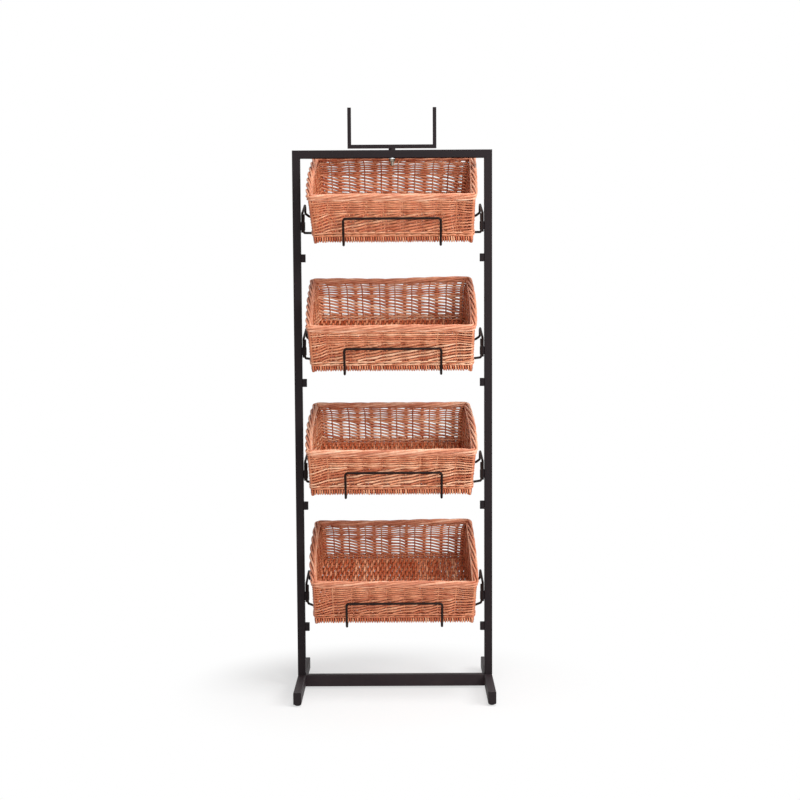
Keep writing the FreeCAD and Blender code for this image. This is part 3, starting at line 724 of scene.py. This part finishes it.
def stakes(basket):
    """All stakes except the posts and the one beside the left front post, which stands for it.
    Each is a line straight up the wall at its stake count."""
    numbers = np.setdiff1d(np.arange(STAKES), [*CORNERS, 1]).astype(float)
    single, pair = numbers[numbers % 2 == 0], numbers[numbers % 2 == 1]
    numbers = np.concatenate([single, pair - PAIR_SPREAD, pair + PAIR_SPREAD])[:, None]
    is_single = np.arange(len(numbers))[:, None] < len(single)
    out = np.where(is_single, SINGLE_OUT, PAIRED_OUT)
    front_out = np.where(is_single, FRONT_SINGLE_OUT, FRONT_PAIRED_OUT)
    out = np.where(numbers < FRONT_BAYS, front_out, out)
    thick = np.where(is_single, SINGLE_RADIUS, PAIRED_RADIUS)
    thick = thick + RANDOM.uniform(-0.15, 0.15, out.shape)
    v = np.linspace(STAKE_FROM, STAKE_TO, 8)[None, :]
    return basket.wall(numbers + 0 * v, v, out + 0 * v), thick * MM, (1.0, 0.0, 0.0), False


def corner_posts(basket):
    """Stout posts: inside the rods at the front corners, and outside them at the back ones,
    where a helper stands on each side of the post and keeps the corner closed."""
    back = (CORNERS[2:4, None] + np.array([-HELPER_SPREAD, 0.0, HELPER_SPREAD])).reshape(-1, 1)
    numbers = np.concatenate([CORNERS[:2, None].astype(float), back])
    out = np.where(numbers < CORNERS[2] - 1, FRONT_POST_OUT, BACK_POST_OUT)
    still = 0 * POST_HEIGHTS
    return (basket.wall(numbers + still, POST_HEIGHTS, out + still), POST_RADII * MM,
            (1.0, 0.0, 0.0), False)


# %% [markdown]
# The rim is a plaited border. The tops of the stakes are bent down in turn, each over the next
# ones, so the rim looks like a rope of four thick strands. On the long sides a strand travels
# far before it dives, on the short ones the turns are closer and the grooves between them deep.
# Two thinner strands twist along below it, and one lies along the inside of the short sides.

# %% The plaited border
BORDER_HEIGHT, BORDER_OUT = 117.0, -0.6
LAYS = (8.8, 7.8, 8.8, 6.9)            # stakes that a strand needs for a turn, side by side
STRANDS = (2.95, 2.6, 2.95, 2.45)      # radius of a strand, side by side
CIRCLES = (3.9, 4.9, 3.9, 5.2)         # radius of the rope's circle through its strands
CORE_RADIUS = 3.0
INNER_HEIGHT, INNER_OUT, INNER_RADIUS = 115.5, -8.0, 2.6


def along_sides(count, values):
    """One value for each side, turning smoothly into the next within half a stake of a post."""
    count = np.mod(count, STAKES)
    at = np.concatenate([[c + 0.5, d - 0.5] for c, d in zip(CORNERS[:-1], CORNERS[1:])])
    return np.interp(count, at, np.repeat(values, 2), period=STAKES)


def rope(basket, strands, lay, circle, radius, height, out):
    """Strands round a circle: angle = 2 pi * (turns so far + strand / strands), outwards = out +
    circle * cos(angle), v = height + circle * sin(angle). Turns = sum of 1 / lay, made to close."""
    turns = np.cumsum(1 / (lay + 0 * ROUND), axis=1)
    whole = turns[0, -1] / PER_STAKE
    turns = turns / turns[0, -1] * max(round(whole * strands), 1) / strands
    strand = np.arange(strands)[:, None]
    angle = 2 * pi * (turns + strand / strands)
    thick = radius * (1 + 0.06 * np.sin(2 * pi * ROUND / 11 + strand))
    paths = basket.wall(ROUND, height + circle * np.sin(angle), out + circle * np.cos(angle))
    return paths, thick * MM, basket.up, True


def border(basket):
    """Four strands, with each side's own lay, circle and thickness."""
    lay, circle, radius = (along_sides(ROUND, values) for values in (LAYS, CIRCLES, STRANDS))
    return rope(basket, 4, lay, circle, radius, BORDER_HEIGHT, BORDER_OUT)


def under_border(basket):
    """Two thin strands twisted together, just below the border."""
    return rope(basket, strands=2, lay=4.4, circle=1.9, radius=2.2, height=109.4, out=1.4)


def border_core(basket):
    """The bent-down stakes inside the rope, which keep daylight out of it."""
    path = basket.wall(ROUND, BORDER_HEIGHT + 0 * ROUND, BORDER_OUT + 0 * ROUND)
    return path, CORE_RADIUS * MM, basket.up, True


def inner_strands(basket):
    """One smooth strand along the inside of each short side, from post to post."""
    run = np.linspace(0.3, SIDE_BAYS - 0.3, 61)[None, :]
    count = CORNERS[[1, 3]][:, None] + run
    paths = basket.wall(count, INNER_HEIGHT + 0 * count, INNER_OUT + 0 * count)
    return paths, INNER_RADIUS * MM, basket.up, False


# %% [markdown]
# The floor has sticks across it and rods woven over and under them from front to back, in turn
# above and below, so that each rod is a cosine. Two rods close each side, one over the other.

# %% The woven floor
FLOOR_MIDDLE = 10.6
STICK, FLOOR_ROD, SIDE_ROD = 2.8, 3.0, 3.0       # radii
STICK_END = 192.0
FLOOR_PITCH = 5.9
FLOOR_ROD_LINES = np.arange(-32, 32.1) * FLOOR_PITCH
STICK_LINES = np.linspace(12.0, 272.0, 14)
SQUEEZE = 1.9            # how far a floor rod sinks towards the stick it crosses
FLOOR_ROD_OVAL = (-0.1, 0.25)            # what its radii differ by, across and towards
SIDE_ROD_X, SIDE_ROD_HEIGHTS = 191.5, (4.0, 9.5)


def straight_sticks(basket, u, v, radius):
    """Straight lines from side to side, one for each pair of u and v."""
    x = np.linspace(-STICK_END, STICK_END, 20)[None, :]
    return basket.place(x, u[:, None], v[:, None]), radius * MM, basket.up, False


def floor_sticks(basket):
    """One on each stick line, up to 0.8 mm off it."""
    u = STICK_LINES + RANDOM.uniform(-0.8, 0.8, len(STICK_LINES))
    return straight_sticks(basket, u, np.full(len(u), FLOOR_MIDDLE), STICK)


def side_rods(basket):
    """Straight lines from front to back, two at each side."""
    u = np.linspace(8.0, 274.0, 24)[None, :]
    x, v = (a.reshape(-1, 1) for a in np.meshgrid((-SIDE_ROD_X, SIDE_ROD_X), SIDE_ROD_HEIGHTS))
    return basket.place(x, u, v), SIDE_ROD * MM, basket.up, False


def floor_rods(basket):
    """v = middle + side * (stick radius + rod radius - squeeze) * cos(pi * stick number)."""
    per_gap = 6
    gaps = len(STICK_LINES) - 1
    run = np.linspace(0, gaps, gaps * per_gap + 1)[None, :]
    u = np.interp(run, np.arange(len(STICK_LINES)), STICK_LINES)
    lines = FLOOR_ROD_LINES[:, None]
    side = np.where(np.arange(len(lines)) % 2 == 0, 1.0, -1.0)[:, None]
    v = FLOOR_MIDDLE + side * (STICK + FLOOR_ROD - SQUEEZE) * np.cos(pi * run)
    drift = RANDOM.uniform(-0.5, 0.5, (len(lines), 1)) + 0.4 * side * np.sin(pi * run)
    thick = FLOOR_ROD + RANDOM.uniform(-0.3, 0.2, (len(lines), 1)) + 0 * run
    thick = thick[..., None] + np.array(FLOOR_ROD_OVAL)
    return basket.place(lines + drift, u + 0 * v, v), thick * MM, (1.0, 0.0, 0.0), False


print("floor:", len(STICK_LINES), "sticks and", len(FLOOR_ROD_LINES), "rods")

# %% [markdown]
# At the front and the back edge each floor rod is wrapped round two edge sticks, one over the
# other, so a close row of short upright turns shows along the foot.

# %% The border round the foot
FOOT_LINES = (4.6, 278.4)
EDGE_STICK = 3.0         # radius
FOOT_INSET, FOOT_STICK_HEIGHTS = 1.6, (4.4, 10.2)
FOOT_MIDDLE, FOOT_HALF_HEIGHT, FOOT_REACH = 7.3, 6.4, 4.9        # of a turn's oval
FOOT_TURN, FOOT_SLANT = 2.1, 1.6         # a turn's radius, and how far it slants over half a turn


def foot_sticks(basket):
    """Two at each edge, a little in from the turns; painted shade darkens their front and back
    sides.
    """
    front, back = FOOT_LINES
    u, v = np.meshgrid((front + FOOT_INSET, back - FOOT_INSET), FOOT_STICK_HEIGHTS)
    paths, radii, _, closed = straight_sticks(basket, u.ravel(), v.ravel(), EDGE_STICK)
    # facing the back puts the painted shade on the sticks' front and back sides
    return paths, radii, basket.back, closed


def foot_turns(basket, line, outward):
    """Half an oval round the two foot sticks: u = line + outward * reach * cos a,
    v = middle - height * sin a, each turn slanting a little as it goes down."""
    lines = FLOOR_ROD_LINES[:, None] + RANDOM.uniform(-0.5, 0.5, (len(FLOOR_ROD_LINES), 1))
    a = np.linspace(-0.55, 0.55, 11)[None, :] * pi
    reach = FOOT_REACH + RANDOM.uniform(-0.4, 0.4, lines.shape)
    height = FOOT_HALF_HEIGHT + RANDOM.uniform(-0.5, 0.5, lines.shape)
    u = line + outward * reach * np.cos(a)
    v = FOOT_MIDDLE - height * np.sin(a)
    thick = FOOT_TURN + RANDOM.uniform(-0.3, 0.3, lines.shape)
    return basket.place(lines + FOOT_SLANT * a / pi, u, v), thick * MM, (1.0, 0.0, 0.0), False


# %% [markdown]
# A basket becomes four objects, in the places of the three plain blocks: floor, walls, stakes
# and border. They ride on the basket's body, so the basket lifts out of its tray in one piece.

# %% Weave the four baskets
for tier in (1, 2, 3, 4):
    RANDOM = np.random.default_rng(40 + tier)
    basket = Basket(tier)
    body = f"basket_{tier}"
    add_piece(f"{body}_woven_floor",
              [floor_sticks(basket), foot_sticks(basket), side_rods(basket), floor_rods(basket),
               foot_turns(basket, FOOT_LINES[0], -1), foot_turns(basket, FOOT_LINES[1], 1)],
              FLOOR_FINISH, body, f"{body}_base")
    add_piece(f"{body}_woven_walls",
              [randing(basket), level_rows(basket), *(wale(basket, *sizes) for sizes in WALES)],
              ROD_FINISH, body, f"{body}_walls", paleness=WALL_PALENESS[tier])
    add_piece(f"{body}_stakes",
              [stakes(basket), corner_posts(basket), border_core(basket)],
              STAKE_FINISH, body)
    add_piece(f"{body}_plaited_border",
              [border(basket), under_border(basket), inner_strands(basket)],
              BORDER_FINISH, body, f"{body}_border", twisted=True)

# %% [markdown]
# The rack stands on a plain white sweep. Near the feet the floor is partly a matt surface that
# takes a faint shadow, and further out it fades into pure white. Camera, glossy and transmission
# rays all see that white, so metal reflects it too. The rack itself is lit by the lamps and a
# dim white room.

# %% The studio floor
FLOOR_HALF = 6.0
SHADOW_FROM, SHADOW_TO = 0.3, 0.6        # distances over which the shadow fades out
LEAST_WHITE = 0.6         # share of pure white at the rack's foot


def seen_directly(owner):
    """1 for camera, glossy and transmission rays and 0 for all others, as the largest of three."""
    rays = add_node(owner, "ShaderNodeLightPath")
    seen = add_node(owner, "ShaderNodeMath", {"operation": "MAXIMUM"}, {
        0: rays.outputs["Is Camera Ray"], 1: rays.outputs["Is Glossy Ray"]})
    seen = add_node(owner, "ShaderNodeMath", {"operation": "MAXIMUM"}, {
        0: seen.outputs[0], 1: rays.outputs["Is Transmission Ray"]})
    return seen.outputs[0]


def studio_floor():
    """White share = (least white, growing smoothly to 1 with distance) * seen directly."""
    m = new_material("white_studio_floor")
    where = add_node(m, "ShaderNodeTexCoord").outputs["Object"]
    distance = add_node(m, "ShaderNodeVectorMath", {"operation": "LENGTH"}, {0: where})
    fade = add_node(m, "ShaderNodeMapRange", {"interpolation_type": "SMOOTHSTEP"}, {
        "Value": distance.outputs["Value"], "From Min": SHADOW_FROM, "From Max": SHADOW_TO,
        "To Min": LEAST_WHITE, "To Max": 1.0})
    white = add_node(m, "ShaderNodeMath", {"operation": "MULTIPLY"}, {
        0: fade.outputs["Result"], 1: seen_directly(m)})
    paint = add_node(m, "ShaderNodeBsdfDiffuse", inputs={"Color": linear("#FAFAFA")})
    glow = add_node(m, "ShaderNodeEmission", inputs={"Color": WHITE, "Strength": 1.0})
    mixed = add_node(m, "ShaderNodeMixShader", inputs={
        0: white.outputs[0], 1: paint.outputs[0], 2: glow.outputs[0]})
    return finish_material(m, mixed.outputs[0])


floor_mesh = bpy.data.meshes.new("studio_floor")
corners = [(x * FLOOR_HALF, y * FLOOR_HALF, 0) for x, y in ((-1, -1), (1, -1), (1, 1), (-1, 1))]
floor_mesh.from_pydata(corners, [], [(0, 1, 2, 3)])
floor_mesh.materials.append(studio_floor())
floor = bpy.data.objects.new("studio_floor", floor_mesh)
bpy.context.scene.collection.objects.link(floor)
print("studio floor:", 2 * FLOOR_HALF, "m square")

# %% [markdown]
# A white room fills the shadows. Two soft lamps high at the front right give the rods their
# bright upper edges and the baskets their dark right-hand inside, a wide one in front lights
# the upright faces, and one overhead the rims and the floors of the baskets.

# %% Light
ROOM_LIGHT = 0.24

world = bpy.data.worlds.new("white_room")
bpy.context.scene.world = world
world.use_nodes = True
world.node_tree.nodes.clear()
room = add_node(world, "ShaderNodeBackground", inputs={"Color": WHITE, "Strength": ROOM_LIGHT})
backdrop = add_node(world, "ShaderNodeBackground", inputs={"Color": WHITE, "Strength": 1.0})
both = add_node(world, "ShaderNodeMixShader", inputs={
    0: seen_directly(world), 1: room.outputs[0], 2: backdrop.outputs[0]})
add_node(world, "ShaderNodeOutputWorld", inputs={"Surface": both.outputs[0]})


def soft_lamp(name, place, aim, size, watts):
    """A round lamp at a place, turned to face the aim."""
    light = bpy.data.lights.new(name, "AREA")
    light.shape = "DISK"
    light.size = size
    light.energy = watts
    lamp = bpy.data.objects.new(name, light)
    lamp.location = place
    lamp.rotation_euler = (Vector(aim) - Vector(place)).to_track_quat("-Z", "Y").to_euler()
    bpy.context.scene.collection.objects.link(lamp)
    print(name, "lamp:", watts, "W at", place)


AIM = (0.0, 0.0, 0.7)
soft_lamp("key", (2.4, -3.0, 2.6), AIM, 1.4, 72)
soft_lamp("side", (3.6, -1.6, 2.4), AIM, 1.4, 70)
soft_lamp("front", (0.4, -4.5, 1.6), AIM, 2.0, 45)
soft_lamp("top", (0.6, -1.2, 4.2), AIM, 1.8, 64)

# %% [markdown]
# The camera stands 4.2 m in front of the rack, a metre above the floor, looking slightly down.
# A long lens of 75 mm keeps the uprights parallel.

# %% Camera
VIEW_PIXELS = 800
FOCAL_PIXELS = 1660.0     # the lens's focal length in the frame's pixels
SENSOR_WIDTH = 36.0
CENTRE_ROW = 453.5        # the row of the frame that the lens axis meets
YAW, PITCH, ROLL = radians(-0.145), radians(5.639), radians(-0.324)
CAMERA_PLACE = (0.0264, -4.2042, 1.0220)

camera_data = bpy.data.cameras.new("camera")
camera_data.sensor_width = SENSOR_WIDTH
camera_data.lens = FOCAL_PIXELS / VIEW_PIXELS * SENSOR_WIDTH
camera_data.shift_y = (CENTRE_ROW - VIEW_PIXELS / 2) / VIEW_PIXELS
camera_data.clip_end = 50.0
camera = bpy.data.objects.new("camera", camera_data)
bpy.context.scene.collection.objects.link(camera)
forward = Vector((sin(YAW) * cos(PITCH), cos(YAW) * cos(PITCH), -sin(PITCH)))
level = Vector((cos(YAW), -sin(YAW), 0.0))
upward = level.cross(forward)
right = level * cos(ROLL) + upward * sin(ROLL)
top = upward * cos(ROLL) - level * sin(ROLL)
axes = Matrix((right, top, -forward)).transposed()
camera.rotation_euler = axes.to_euler()
camera.location = CAMERA_PLACE
bpy.context.scene.camera = camera
bpy.context.scene.view_settings.view_transform = "Standard"
print("camera at", CAMERA_PLACE, "with a lens of", round(camera_data.lens, 1), "mm")
